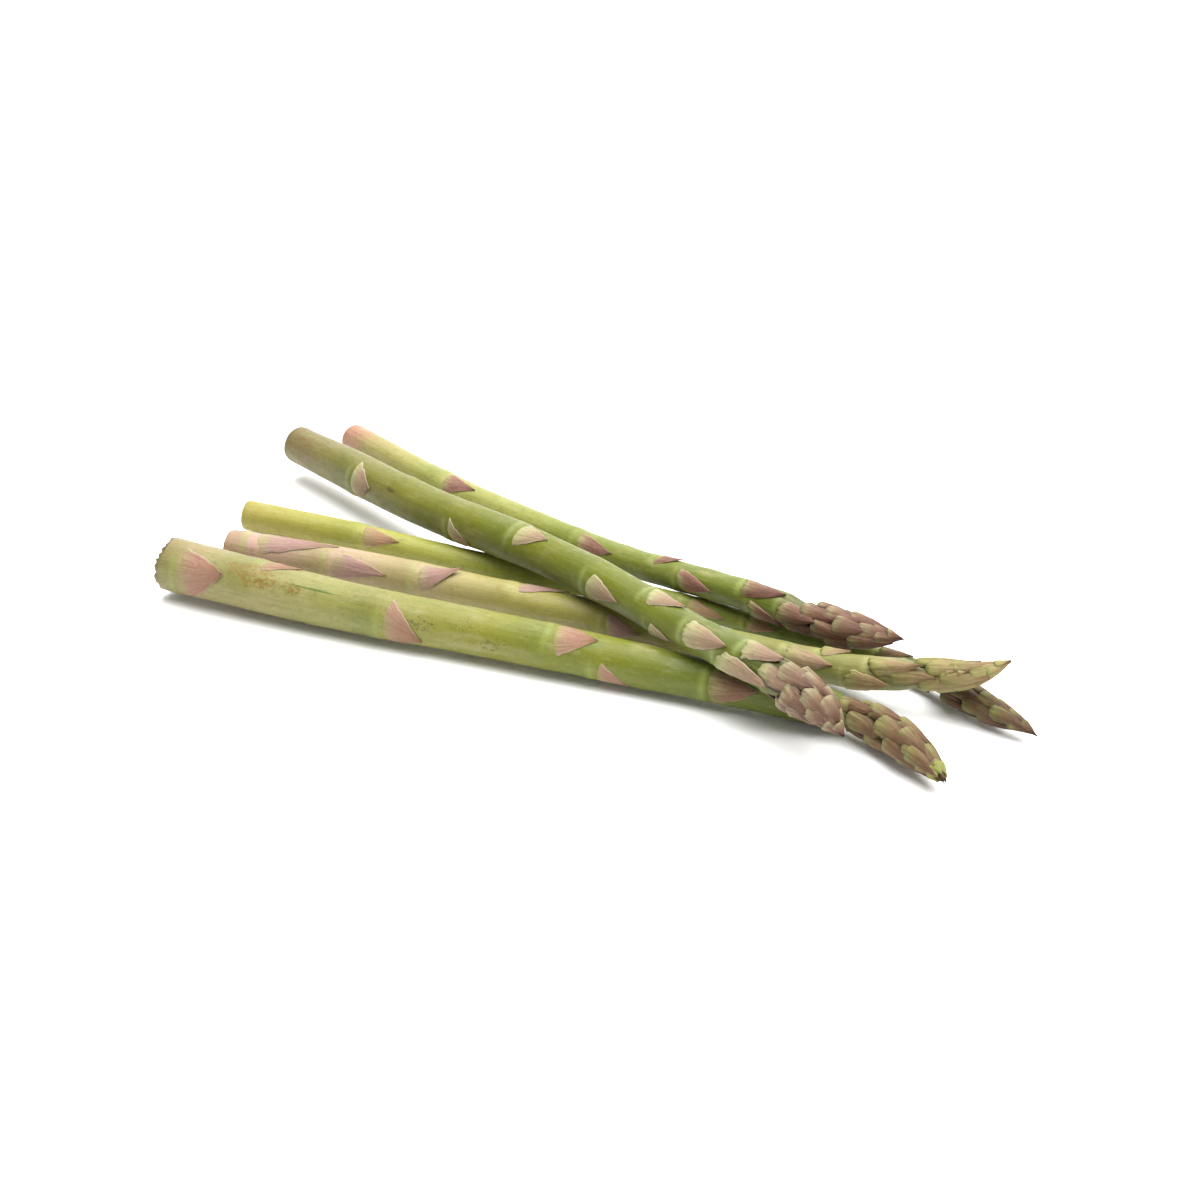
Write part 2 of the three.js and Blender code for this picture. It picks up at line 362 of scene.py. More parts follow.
stalkShape = {
    "sides": 72, "ring": 0.55, "bodyFrom": 0.9, "bodyShort": 1.5,
    # mm from the butt and share of the radius, from the middle of the cut face out over its rim
    "butt": [(0.25, 0.0), (0.2, 0.25), (0.22, 0.5), (0.12, 0.7), (0.03, 0.83), (0.0, 0.89), (0.1, 0.94),
             (0.35, 0.975)],
    # mm short of the tip and share of the radius, where the stalk closes inside its head
    "tip": [(1.2, 0.8), (0.9, 0.4), (0.8, 0.0)],
    "coreShare": 0.74, "thinFrom": -2, "thinOver": 5, "taper": 0.5, "taperCurve": 1.5,
    # unevenness of the skin: its share of the radius, then how often it comes round and its mm along
    "wobble": 0.016, "broad": (1.3, 14), "small": (2.4, 5), "smallShare": 0.4, "flute": 0.007, "rib": (7, 45),
    "tear": 1.6, "fineTear": 7, "fineTearShare": 0.6, "seam": 0.002}
nodeShape = {
    "swell": 0.20, "ridge": 0.09, "beside": 14, "sharp": 3, "allRound": 0.5, "toward": 0.75,
    # where each band lies from the base of its leaf and how wide it is, in mm
    "bands": {"swell": (-1.2, 2.2), "ridge": (-0.15, 0.32), "ring": (-0.7, 0.8), "flush": (-4, 6)},
    "flushTo": 0.5}


def stalkProfile(length):
    shape = stalkShape
    body = np.arange(shape["bodyFrom"], length / mm - shape["bodyShort"], shape["ring"])
    tip = [(length / mm - short, share) for short, share in shape["tip"]]
    profile = [*shape["butt"], *((s, 1.0) for s in body), *tip]
    return np.array([s for s, share in profile]) * mm, np.array([share for s, share in profile])


def nodeBands(leaves, along, turn):
    # swelling in mm, pale ring and green flush of the skin at the base of each scale leaf
    shape = nodeShape
    swell, ring, flush = np.zeros((3, len(along)))
    for leaf in leaves:
        toward = np.cos(turn - math.radians(leaf["angle"]))
        past = (along - leaf["base"]) / mm
        band = {name: np.exp(-((past - middle) / wide) ** 2) for name, (middle, wide) in shape["bands"].items()}
        face = np.clip(shape["allRound"] + shape["toward"] * toward, 0, 1)
        reach = math.cos(math.radians(min(170, leaf["spread"] + shape["beside"])))
        under = np.clip((toward - reach) * shape["sharp"], 0, 1)
        swell += shape["swell"] * face * band["swell"] + shape["ridge"] * under * band["ridge"]
        ring = np.maximum(ring, under * band["ring"])
        flush = np.maximum(flush, face * band["flush"] * (past < shape["flushTo"]))
    return swell, ring, flush


def unevenAt(c, s, z, seed):
    # c and s are where a point lies round the stalk, and z is its place along it in mm
    shape = stalkShape
    (broad, broadLong), (small, smallLong), (rib, ribLong) = shape["broad"], shape["small"], shape["rib"]
    lump = noise.noise((c * broad + seed, s * broad, z / broadLong))
    lump += shape["smallShare"] * noise.noise((c * small, s * small + seed, z / smallLong))
    groove = noise.noise((c * rib, s * rib + seed, z / ribLong))
    return shape["wobble"] * lump + shape["flute"] * groove


def tornAt(c, s, seed):
    tear, fine = stalkShape["tear"], stalkShape["fineTear"]
    broad = noise.noise((c * tear + seed, s * tear, 4.0))
    return broad + stalkShape["fineTearShare"] * noise.noise((c * fine, s * fine, seed))


def buildStalk(spear):
    spine, shape, seed = spear["spine"], stalkShape, spear["seed"]
    headStart, length = spear["headStart"], spine["length"]
    stations, shares = stalkProfile(length)
    bm = bmesh.new()
    skinLayer = bm.verts.layers.float_vector.new("skin")
    ringLayer = bm.verts.layers.float.new("nodeRing")
    flushLayer = bm.verts.layers.float.new("nodeFlush")
    rows = len(stations) - 1
    bmesh.ops.create_grid(bm, x_segments=rows, y_segments=shape["sides"], size=0.5)
    flat = np.array([v.co[:2] for v in bm.verts])
    row = np.rint((flat[:, 0] + 0.5) * rows).astype(int)
    angle = (flat[:, 1] + 0.5) * 360
    turn = np.radians(angle)
    along, share = stations[row], shares[row]
    radius = radiusAt(spine, along)
    thinStart = headStart + (spear["head"]["delay"] + shape["thinFrom"]) * mm
    thin = np.clip((along - thinStart) / (shape["thinOver"] * mm), 0, 1)
    radius *= 1 - (1 - shape["coreShare"]) * thin
    inHead = np.clip((along - headStart) / (length - headStart), 0, 1)
    radius *= 1 - shape["taper"] * inHead ** shape["taperCurve"]
    swell, ring, flush = nodeBands(spear["leaves"], along, turn)
    for i in range(len(along)):
        c, s = math.cos(turn[i]), math.sin(turn[i])
        radius[i] *= 1 + unevenAt(c, s, along[i] / mm, seed)
        if row[i] <= len(shape["butt"]):
            along[i] += spear["ragged"] * mm * tornAt(c, s, seed) * share[i] ** 4
    placed = onSpear(spine, along, angle, (radius + swell * mm) * share)
    girth = radiusAt(spine, length / 2) / mm
    for i, v in enumerate(bm.verts):
        v.co = placed[i]
        out = girth * share[i]
        v[skinLayer] = (out * math.cos(turn[i]), out * math.sin(turn[i]), along[i] / mm)
        v[ringLayer] = ring[i]
        v[flushLayer] = flush[i]
    bmesh.ops.remove_doubles(bm, verts=bm.verts, dist=shape["seam"] * mm)
    bmesh.ops.recalc_face_normals(bm, faces=bm.faces)
    return bm


stalkFinish = {"subsurface": 0.14, "tint": (1.0, 0.75, 0.28), "gloss": 0.31, "roughness": (0.38, 0.56)}
# stretch is how often a pattern comes per mm, across the stalk and along it
stalkPatterns = {
    "wander": {"stretch": (0.16, 0.16, 0.05), "detail": 3, "seedOn": (1, 0, 0)},
    "blotch": {"stretch": (0.3, 0.3, 0.1), "detail": 5, "rough": 0.6, "shift": (3, 0, 0), "seedOn": (0, 1, 0)},
    "streak": {"stretch": (1.25, 1.25, 0.05), "rough": 0.65},
    "pale": {"stretch": (0.9, 0.9, 0.10), "rough": 0.6, "shift": (9, 2, 5)},
    "mottle": {"stretch": (0.75, 0.75, 0.45), "detail": 5, "rough": 0.75, "shift": (2, 4, 8)},
    "grain": {"stretch": (2.2, 2.2, 1.6), "rough": 0.8},
    "crumbs": {"stretch": (1.7, 1.7, 1.2), "detail": 6, "rough": 0.85, "shift": (1, 7, 2)},
    "drift": {"stretch": (0.45, 0.45, 0.30), "rough": 0.7, "shift": (5, 3, 1)},
    "shine": {"stretch": (0.6, 0.6, 0.25)},
    "pith": {"stretch": (0.5, 0.5, 0)}}
# where each pattern starts and is full, and how much of its colour it lays on
stalkCover = {"blotch": (0.5, 0.72), "streak": (0.42, 0.70, 0.26), "pale": (0.52, 0.8, 0.22),
              "light": (0.52, 0.70, 0.16), "dark": (0.48, 0.32, 0.42), "pores": (0.46, 0.66, 0.22),
              "speck": (0.66, 0.74, 0.65), "strand": (0.28, 0.12, 0.6)}
stalkTouch = {"wander": 0.16, "flush": 0.38, "ring": 0.60, "darker": 0.8, "drift": (0.35, 0.65),
              "markEdge": (1.1, 0.1), "wornEdge": (3.4, 1.2), "wornCrumbs": 2.0, "cutEdge": (0.4, 0.1),
              "shineFrom": (0.3, 0.7), "strandScale": 1.1}
stalkBumps = [("streak", 0.5, 0.22), ("grain", 0.35, 0.10), ("mottle", 0.35, 0.3)]  # pattern, strength, mm


def markPatch(tree, mark, angle, along, patterns):
    # a scuff or nick: an oval patch that its own grain breaks up
    half = mark["grain"] / 2
    around = sums(tree, "MULTIPLY", sums(tree, "SUBTRACT", angle, math.radians(mark["angle"])), mark["girth"])
    wide = sums(tree, "POWER", sums(tree, "DIVIDE", around, mark["width"]), 2.0)
    far = sums(tree, "DIVIDE", sums(tree, "SUBTRACT", along, mark["along"]), mark["length"])
    reach = sums(tree, "ADD", wide, sums(tree, "POWER", far, 2.0))
    reach = sums(tree, "ADD", reach, fit(tree, patterns["drift"], *stalkTouch["drift"], -half, half))
    oval = fit(tree, reach, *stalkTouch["markEdge"], 0, mark["amount"])
    return sums(tree, "MULTIPLY", oval, fit(tree, patterns["crumbs"], *mark["crumbs"]))


def cutFace(tree, skin, look, pith):
    # moist pith with a scatter of darker strands
    spots = {"Vector": stretched(tree, skin, (1, 1, 0)), "Scale": stalkTouch["strandScale"]}
    strands = addNode(tree, "ShaderNodeTexVoronoi", spots).outputs["Distance"]
    base = mixed(tree, pith, linear(*look["pith"]), linear(*look["pale"]))
    return laid(tree, base, strands, linear(*look["strand"]), *stalkCover["strand"])


def stalkSkin(spear):
    look, cover, touch = spear["stalkLook"], stalkCover, stalkTouch
    made, tree, shader = plantMaterial(spear["piece"] + "StalkSkin", stalkFinish)
    skin = attribute(tree, "skin").outputs["Vector"]
    spot = addNode(tree, "ShaderNodeSeparateXYZ", {0: skin}).outputs
    along = spot["Z"]
    angle = sums(tree, "ARCTAN2", spot["Y"], spot["X"])
    pattern = {name: patternOn(tree, skin, spear["seed"], **setup) for name, setup in stalkPatterns.items()}

    def toned(name, share=1.0):
        return linear(*look[name], look["tone"] * share)

    wander = sums(tree, "MULTIPLY", sums(tree, "SUBTRACT", pattern["wander"], 0.5), touch["wander"])
    place = sums(tree, "ADD", sums(tree, "DIVIDE", along, spear["spine"]["length"] / mm), wander)
    colour = ramp(tree, place, [(p, linear(*c, look["tone"])) for p, c in look["along"]])
    colour = laid(tree, colour, pattern["blotch"], toned("blotch"), *cover["blotch"], look["blotchAmount"])
    colour = laid(tree, colour, pattern["streak"], toned("streak"), *cover["streak"])
    colour = laid(tree, colour, pattern["pale"], toned("pale"), *cover["pale"])
    flush = sums(tree, "MULTIPLY", attribute(tree, "nodeFlush").outputs["Fac"], touch["flush"])
    colour = mixed(tree, flush, colour, toned("streak"))
    ring = sums(tree, "MULTIPLY", attribute(tree, "nodeRing").outputs["Fac"], touch["ring"])
    colour = mixed(tree, ring, colour, linear(*look["ring"]))
    colour = laid(tree, colour, pattern["mottle"], toned("pale"), *cover["light"])
    colour = laid(tree, colour, pattern["mottle"], toned("streak", touch["darker"]), *cover["dark"])
    colour = laid(tree, colour, pattern["grain"], linear(*look["speck"]), *cover["pores"])
    colour = laid(tree, colour, pattern["grain"], linear(*look["speck"]), *cover["speck"])
    for mark in look["marks"]:
        colour = mixed(tree, markPatch(tree, mark, angle, along, pattern), colour, linear(*mark["colour"]))
    edge = sums(tree, "ADD", along, sums(tree, "MULTIPLY", pattern["crumbs"], touch["wornCrumbs"]))
    colour = laid(tree, colour, edge, linear(*look["wornColour"]), *touch["wornEdge"], look["worn"])
    cut = fit(tree, along, *touch["cutEdge"])
    colour = mixed(tree, cut, colour, cutFace(tree, skin, look, pattern["pith"]))
    tree.links.new(colour, shader.inputs["Base Color"])
    shine = fit(tree, pattern["shine"], *touch["shineFrom"], *stalkFinish["roughness"])
    tree.links.new(shine, shader.inputs["Roughness"])
    bumpedBy(tree, pattern, stalkBumps, shader)
    return made


sheetShape = {
    "rowCurve": 1.3, "shoulder": 0.08, "fray": 0.14, "turnCurve": 1.4, "frillFade": 6, "thinner": 0.5,
    "standCurve": 2.2, "inmost": 0.12, "ripple": 0.3, "patternStep": 7.3,
    # painted shade: the next three values set how far in from the sides and up from the base a scale is
    # darkened, standing in for crevice shade
    "paintedShadeFrom": 0.60, "paintedShadeOver": 0.24, "paintedShadeBase": 0.06,
    # each unevenness starts at seed * first + second and comes third along and fourth across the scale
    "frayGrain": (3.1, 0, 7, 2), "waveGrain": (1.7, 5, 4.5, 1.3), "crinkleGrain": (2.3, 9, 3, 5),
    "frillGrain": (4.1, 6)}
leafShape = {"rows": 26, "columns": 20, "lip": 0.045, "root": 0.4, "clear": 0.10, "wave": 0.08, "thick": 0.16,
             "seam": 0.002, "offFloor": 0.1, "seedStep": 0.61}


def emptySheets():
    bm = bmesh.new()
    bm.verts.layers.float_vector.new("leafSpot")
    bm.verts.layers.float_vector.new("leafSize")
    bm.verts.layers.float.new("young")
    # the last layer carries painted shade for the crevices between head scales
    bm.verts.layers.float.new("paintedShade")
    return bm


def unevenOn(t, c, seed, grain):
    first, second, far, wide = grain
    return np.array([noise.noise((seed * first + second, a * far, b * wide)) for a, b in zip(t, c)])


def addSheet(bm, spine, leaf, shape, seed):
    # one scale, laid on the spear from its base row to its tip: t runs along it, and c across it from -1 to 1
    sheet = sheetShape
    spot = bm.verts.layers.float_vector["leafSpot"]
    size = bm.verts.layers.float_vector["leafSize"]
    young, paintedShade = bm.verts.layers.float["young"], bm.verts.layers.float["paintedShade"]
    verts = bmesh.ops.create_grid(bm, x_segments=shape["rows"], y_segments=shape["columns"], size=0.5)["verts"]
    t = np.array([v.co.x + 0.5 for v in verts]) ** sheet["rowCurve"]
    c = np.array([-2 * v.co.y for v in verts])
    shoulder = np.clip(t / sheet["shoulder"], 0, 1)
    outline = np.clip(1 - t ** leaf["taper"], 0, 1) ** leaf["fullness"]
    outline *= leaf["baseWidth"] + (1 - leaf["baseWidth"]) * np.sqrt(1 - (1 - shoulder) ** 2)
    fray = unevenOn(t, c, seed, sheet["frayGrain"])
    half = leaf["spread"] * outline * (1 + sheet["fray"] * fray * np.abs(c))
    angle = leaf["angle"] + leaf["turn"] * t ** sheet["turnCurve"] + half * c
    along = leaf["base"] + leaf["length"] * t
    along += leaf["length"] * (1 - t) * (leaf["round"] * c ** 2 + leaf["slant"] * c)
    first, wide = sheet["frillGrain"]
    frill = np.array([noise.noise((seed * first, b * wide, 2.0)) for b in c])
    along += leaf["frill"] * mm * frill * (1 - t) ** sheet["frillFade"]
    risen = 1 - np.exp(-(t / (shape["lip"] * leaf["lip"])) ** 2)
    pillow = (1 - np.abs(c) ** leaf["keel"]) * (1 - sheet["thinner"] * t) * leaf["plump"] * mm
    edges = shape["clear"] * mm - leaf["sink"] * mm * np.abs(c) ** 3
    wave = unevenOn(t, c, seed, sheet["waveGrain"])
    crinkle = unevenOn(t, c, seed, sheet["crinkleGrain"])
    ripple = (shape["wave"] * wave * (sheet["ripple"] + np.abs(c) + t) + leaf["crinkle"] * crinkle) * mm
    ground = radiusAt(spine, np.clip(along, 0, spine["length"])) * leaf["share"]
    height = ground - shape["root"] * mm + risen * (shape["root"] * mm + edges + pillow + ripple)
    height += leaf["stand"] * t ** sheet["standCurve"] + leaf["rise"] * mm * t
    height = np.maximum(height * (1 - leaf["shut"] * t ** 3), sheet["inmost"] * mm)
    placed = onSpear(spine, along, angle, height)
    placed[:, 2] = np.maximum(placed[:, 2], shape["offFloor"] * mm)
    girth = (ground / mm) * math.radians(leaf["spread"])
    # painted shade: the sides and the base of each scale get a share that darkens them, standing in for the
    # shade in the crevices where scales overlap
    side = np.clip((np.abs(c) - sheet["paintedShadeFrom"]) / sheet["paintedShadeOver"], 0, 1)
    paintedShadeAmount = leaf["paintedShadeAmount"] * np.maximum(side, 1 - np.minimum(1, t / sheet["paintedShadeBase"]))
    for i, v in enumerate(verts):
        v.co = placed[i]
        v[spot] = (c[i], t[i], seed)
        v[size] = (c[i] * girth[i], t[i] * leaf["length"] / mm, seed * sheet["patternStep"])
        v[young] = leaf["young"]
        v[paintedShade] = paintedShadeAmount[i]


leafSettle = {"youngFrom": 62, "youngOver": 45, "slant": 0.09, "slantStep": 2.4, "wider": 1.08}
# low leaves lie flat on the skin, and those near the head stand off: value at the butt, and change by the head
leafGrows = {"taper": (1.28, 0.3), "lip": (2.4, -1.4), "rise": (0.0, 0.10), "frill": (0.3, 0.9)}
leafStays = {"fullness": 1.0, "baseWidth": 1.0, "round": 0.05, "keel": 1.8, "sink": 0.0, "crinkle": 0.06,
             # leaves on the stalk take none of the painted crevice shade
             "share": 1.0, "shut": 0.0, "paintedShadeAmount": 0.0}
flatPlump = 0.16


def settleLeaf(spear, number, leaf):
    near = (leaf["base"] - spear["headStart"]) / mm + leafSettle["youngFrom"]
    young = min(1, max(0, near / leafSettle["youngOver"]))
    settled = {**leafStays, **{name: low + more * young for name, (low, more) in leafGrows.items()}}
    settled["slant"] = leafSettle["slant"] * math.sin(number * leafSettle["slantStep"])
    settled["plump"] = flatPlump + spear["plumpLeaves"] * young
    settled["young"] = young * spear["youngShare"]
    change = {"wider": leafSettle["wider"], "roll": 0.0, **spear["leafChanges"].get(number, {})}
    settled.update({**leaf, **change})
    settled["spread"] *= change["wider"]
    settled["angle"] += change["roll"]
    settled["turn"] -= change["roll"]
    return settled


leafFinish = {"subsurface": 0.10, "tint": (1.0, 0.6, 0.4), "gloss": 0.16, "roughness": (0.44, 0.62)}
leafPatterns = {
    "wander": {"stretch": (0.5, 0.3, 1), "detail": 3},
    "vein": {"stretch": (1.7, 0.10, 1), "rough": 0.65},
    "mottle": {"stretch": (1.1, 0.6, 1), "detail": 5, "rough": 0.7},
    "tone": {"stretch": (0.35, 0.22, 1), "detail": 2},
    "fine": {"stretch": (2.6, 1.4, 1), "rough": 0.7}}
leafCover = {"body": (0.1, 0.35), "vein": (0.42, 0.62), "mottle": (0.50, 0.72, 0.45), "rim": (0.86, 1.0),
             "fine": (0.5, 0.78, 0.5)}
leafTouch = {"wanderMiddle": 0.62, "wander": 0.34, "arch": 0.10, "ragged": 0.14,
             "toneFlush": (0.45, 0.7, 0, 0.6), "ownFlush": (0.3, 1, 0, 0.5), "fresh": (1.5, 2.0),
             # the first value on the next line is how strongly the painted crevice shade darkens head scales
             "paintedShade": 0.95, "grime": 0.45, "shineFrom": (0.3, 0.7)}
leafBumps = [("vein", 0.8, 0.36), ("fine", 0.35, 0.08), ("mottle", 0.6, 0.3)]  # pattern, strength, mm
freshBud = {"dark": (120, 128, 50), "light": (196, 192, 110)}
grime = (90, 66, 40)


def leafSkin(spear):
    cover, touch = leafCover, leafTouch
    made, tree, shader = plantMaterial(spear["piece"] + "ScaleSkin", leafFinish)
    spot = addNode(tree, "ShaderNodeSeparateXYZ", {0: attribute(tree, "leafSpot").outputs["Vector"]}).outputs
    size = attribute(tree, "leafSize").outputs["Vector"]
    pattern = {name: patternOn(tree, size, spear["seed"], **setup) for name, setup in leafPatterns.items()}
    edge = sums(tree, "ABSOLUTE", spot["X"])
    wander = sums(tree, "SUBTRACT", pattern["wander"], touch["wanderMiddle"])
    place = sums(tree, "ADD", spot["Y"], sums(tree, "MULTIPLY", wander, touch["wander"]))
    place = sums(tree, "ADD", place, sums(tree, "MULTIPLY", sums(tree, "POWER", edge, 2.0), touch["arch"]))
    dice = addNode(tree, "ShaderNodeTexWhiteNoise", {"W": spot["Z"]}, noise_dimensions="1D").outputs["Value"]
    ragged = sums(tree, "MULTIPLY", sums(tree, "SUBTRACT", pattern["mottle"], 0.5), touch["ragged"])

    def skinOf(look):
        tint = look["tone"]
        colour = ramp(tree, place, [(p, linear(*c, tint)) for p, c in look["along"]])
        toneFlush = fit(tree, pattern["tone"], *touch["toneFlush"])
        flush = sums(tree, "ADD", toneFlush, fit(tree, dice, *touch["ownFlush"]))
        body = fit(tree, place, *cover["body"], 0, look["flushAmount"])
        colour = mixed(tree, sums(tree, "MULTIPLY", flush, body), colour, linear(*look["flush"], tint))
        vein = linear(*look["vein"], tint)
        colour = laid(tree, colour, pattern["vein"], vein, *cover["vein"], look["veinAmount"])
        colour = laid(tree, colour, pattern["mottle"], linear(*look["mottle"], tint), *cover["mottle"])
        rim = sums(tree, "ADD", edge, ragged)
        return laid(tree, colour, rim, linear(*look["rim"], tint), *cover["rim"], look["rimAmount"])

    young = attribute(tree, "young").outputs["Fac"]
    colour = mixed(tree, young, skinOf(spear["leafLook"]), skinOf(spear["headLook"]))
    bud = mixed(tree, pattern["mottle"], linear(*freshBud["dark"]), linear(*freshBud["light"]))
    colour = mixed(tree, fit(tree, young, *touch["fresh"]), colour, bud)
    # painted shade: the sides and base of head scales are mixed toward a dark colour, standing in for the shade
    # in the crevices between them
    paintedShade = sums(tree, "MULTIPLY", attribute(tree, "paintedShade").outputs["Fac"], touch["paintedShade"])
    colour = mixed(tree, paintedShade, colour, linear(*spear["headLook"]["paintedShade"]))
    grimy = mixed(tree, touch["grime"], colour, linear(*grime))
    colour = laid(tree, colour, pattern["fine"], grimy, *cover["fine"])
    tree.links.new(colour, shader.inputs["Base Color"])
    shine = fit(tree, pattern["mottle"], *touch["shineFrom"], *leafFinish["roughness"])
    tree.links.new(shine, shader.inputs["Roughness"])
    bumpedBy(tree, pattern, leafBumps, shader)
    return made


headShape = {"rows": 20, "columns": 16, "lip": 0.07, "root": 0.5, "clear": 0.06, "wave": 0.10, "thick": 0.16,
             "seam": 0.004, "offFloor": 0.15, "seedStep": 0.37}
scaleShape = {"jitter": 6, "turn": 10, "taper": (2.0, 2.6), "fullness": 0.9, "baseWidth": 0.70, "round": 0.10,
              "keel": 2.2, "frill": 0.5}
spiral = 137.5  # degrees from each scale to the next
# open scales climb the head, wider and more closed toward its top; early and past are in mm
climbing = {"early": 1.0, "curve": 0.9, "uneven": (0.88, 1.12), "past": 0.4, "fullestAt": 0.25, "readAt": 0.2,
            "smallest": 0.35, "widen": 0.5, "shut": 0.4}
# the last scales close over the growing point
closing = {"count": 6, "from": 0.60, "step": 0.05, "firstAngle": 40, "past": 0.5, "size": 0.45, "proud": 0.10,
           "seed": 30, "change": {"spread": 82, "taper": 2.6, "baseWidth": 0.8, "stand": 0.0, "rise": 0.0}}
# short buds sit between the scales
buds = {"size": 0.6, "proud": 0.16, "seed": 40,
        "change": {"crinkle": 0.16, "plump": 0.7, "rise": 0.0, "sink": 0.1}}


def headScale(base, long, angle, look, rng, size):
    shape = scaleShape
    return {"base": base, "length": long, "angle": angle + rng.uniform(-shape["jitter"], shape["jitter"]),
            "spread": look["spread"], "turn": rng.uniform(-shape["turn"], shape["turn"]),
            "stand": look["open"] * mm * rng.uniform(0, 1) * size, "taper": rng.uniform(*shape["taper"]),
            "fullness": shape["fullness"], "baseWidth": shape["baseWidth"], "round": shape["round"],
            "slant": 0.0, "keel": shape["keel"], "lip": 1.0, "plump": look["plump"] * size,
            "sink": look["sink"] * size, "crinkle": look["crinkle"], "share": look["core"],
            # head scales take the full painted crevice shade
            "rise": look["rise"] * size, "shut": 0.0, "frill": shape["frill"], "young": 1.0, "paintedShadeAmount": 1.0}


def buildHead(spear):
    spine, look, seed = spear["spine"], spear["head"], spear["seed"]
    start, length = spear["headStart"] + look["delay"] * mm, spine["length"]
    run = length - start
    rng = random.Random(seed)
    bm = emptySheets()
    fullest = radiusAt(spine, start + climbing["fullestAt"] * run)
    for n in range(look["scales"]):
        u = n / (look["scales"] - 1)
        base = start - climbing["early"] * mm + run * look["climb"] * u ** climbing["curve"]
        share = look["longest"] + (look["shortest"] - look["longest"]) * u
        long = min(run * share * rng.uniform(*climbing["uneven"]), length + climbing["past"] * mm - base)
        size = max(climbing["smallest"], radiusAt(spine, base + climbing["readAt"] * long) / fullest)
        leaf = headScale(base, long, look["firstAngle"] + spiral * n, look, rng, size)
        leaf["spread"] *= 1 + climbing["widen"] * u
        leaf["shut"] = climbing["shut"] * look["shut"] * u
        addSheet(bm, spine, leaf, headShape, seed + n * headShape["seedStep"])
    for n in range(closing["count"]):
        base = start + run * (closing["from"] + closing["step"] * n)
        long = length + closing["past"] * mm - base
        leaf = headScale(base, long, closing["firstAngle"] + spiral * n, look, rng, closing["size"])
        leaf.update({**closing["change"], "share": look["core"] + closing["proud"], "shut": look["shut"]})
        addSheet(bm, spine, leaf, headShape, seed + closing["seed"] + n * headShape["seedStep"])
    for n, (place, angle, long, spread, age) in enumerate(look["extraBuds"]):
        leaf = headScale(spear["headStart"] + place * run, long * mm, angle, look, rng, buds["size"])
        leaf.update({**buds["change"], "spread": spread, "young": age, "share": look["core"] + buds["proud"]})
        addSheet(bm, spine, leaf, headShape, seed + buds["seed"] + n * headShape["seedStep"])
    bmesh.ops.remove_doubles(bm, verts=bm.verts, dist=headShape["seam"] * mm)
    return bm


